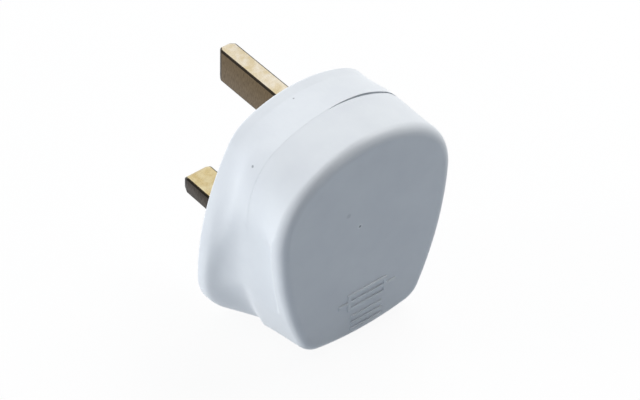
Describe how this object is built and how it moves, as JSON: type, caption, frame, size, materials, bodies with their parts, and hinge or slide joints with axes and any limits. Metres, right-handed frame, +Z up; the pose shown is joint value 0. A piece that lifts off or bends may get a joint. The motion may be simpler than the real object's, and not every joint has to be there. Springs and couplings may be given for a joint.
{
  "type": "rewirable mains plug",
  "caption": "Rewirable fused mains plug of the British pattern: a white casing with hollowed finger grips, flat brass pins and a cord entry in its lower edge.",
  "frame": {"origin": "on the engagement face, midway between the middles of the two line pins", "axes": "+X to the right as the cover is looked at, +Y out along the pins, +Z up towards the earth pin"},
  "size_m": [0.0492, 0.0459, 0.0522],
  "materials": {
    "casing": "smooth moulded white thermoset with a soft shine",
    "pin_brass": "drawn brass with a fine grain",
    "pin_sleeve": "black moulded insulation",
    "terminal_brass": "bright machined brass",
    "clip_brass": "sprung brass strip",
    "fuse_ceramic": "glazed off-white ceramic",
    "fuse_element": "bare fine wire",
    "fuse_cap": "nickel plated pressing",
    "screw_steel": "bright zinc plate",
    "fibre": "red vulcanised fibre"
  },
  "bodies": {
    "root": {"base": "casing", "cover": "casing", "earth_pin": "pin_brass", "neutral_pin": "pin_brass", "live_pin": "pin_brass", "neutral_pin_sleeve": "pin_sleeve", "live_pin_sleeve": "pin_sleeve", "live_terminal": "terminal_brass", "lower_fuse_clip": "clip_brass", "upper_fuse_clip": "clip_brass", "fuse_clip_rivets": "terminal_brass", "fuse_tube": "fuse_ceramic", "fuse_wire": "fuse_element", "fuse_cap_lower": "fuse_cap", "fuse_cap_upper": "fuse_cap", "terminal_screws": "screw_steel", "cord_grip_bar": "fibre", "cord_grip_screws": "screw_steel", "cover_screw": "screw_steel", "cover_screw_washer": "fibre", "cover_nut": "terminal_brass"}
  },
  "joints": []
}
